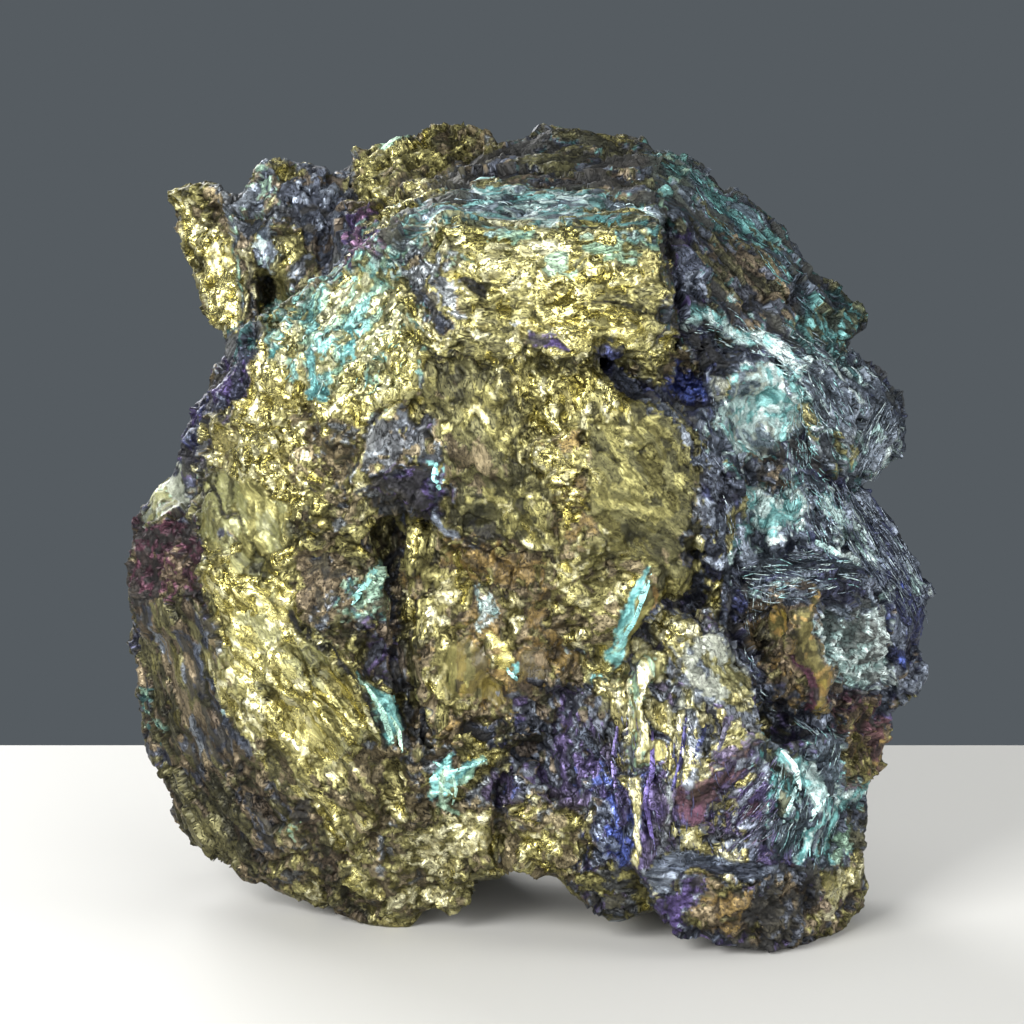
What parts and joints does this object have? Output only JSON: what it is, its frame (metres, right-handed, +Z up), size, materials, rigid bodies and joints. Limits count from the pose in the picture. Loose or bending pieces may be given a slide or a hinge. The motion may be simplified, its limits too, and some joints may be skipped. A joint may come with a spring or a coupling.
{
  "type": "covellite mineral specimen",
  "caption": "Broken lump of tarnished copper sulphide ore with blocks, ledges, seams and small feet that it rests on.",
  "frame": {"origin": "on the ground below the middle of the stone's box", "axes": "+Z up, -Y out of the broken front face, +X to the right of that face as seen from the front"},
  "size_m": [0.045, 0.0272, 0.043],
  "materials": {
    "tarnished_ore": "hackly metallic sulphide, brass yellow to olive, with turquoise, violet, indigo and steel grey tarnish"
  },
  "bodies": {
    "root": {"covellite": "tarnished_ore"}
  },
  "joints": []
}
